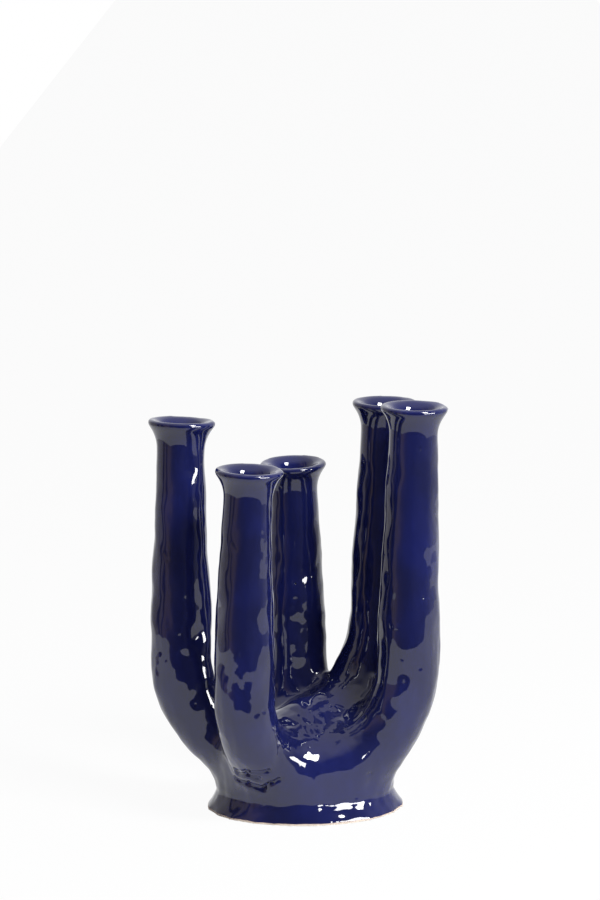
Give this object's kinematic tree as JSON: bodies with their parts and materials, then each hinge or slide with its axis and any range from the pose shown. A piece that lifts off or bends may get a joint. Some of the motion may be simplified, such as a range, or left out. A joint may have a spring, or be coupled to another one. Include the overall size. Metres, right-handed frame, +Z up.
{
  "type": "multi-stem ceramic vase",
  "caption": "Hand-built glazed ceramic vase: upright tubes with flared lips rise like fingers from a hollow palm on a low oval foot, all joined inside to hold water and separate flower stems",
  "frame": {"origin": "On the table, under the middle of the bounding box", "axes": "+Z up along the tubes; the pictured front faces -Y, with +X to its right"},
  "size_m": [0.2162, 0.1644, 0.2999],
  "materials": {
    "glaze": "glossy cobalt blue glaze, near black where thick, slightly wavy, with a few pinholes",
    "bare_clay": "unglazed cream clay, dry and fine-grained"
  },
  "bodies": {
    "root": {"foot_ring": "glaze", "floor_slab": "bare_clay", "bowl": "glaze", "palm": "glaze", "socket_left": "glaze", "socket_front_left": "glaze", "socket_back": "glaze", "socket_back_right": "glaze", "socket_right": "glaze", "tube_left": "glaze", "tube_front_left": "glaze", "tube_back": "glaze", "tube_back_right": "glaze", "tube_right": "glaze"}
  },
  "joints": []
}
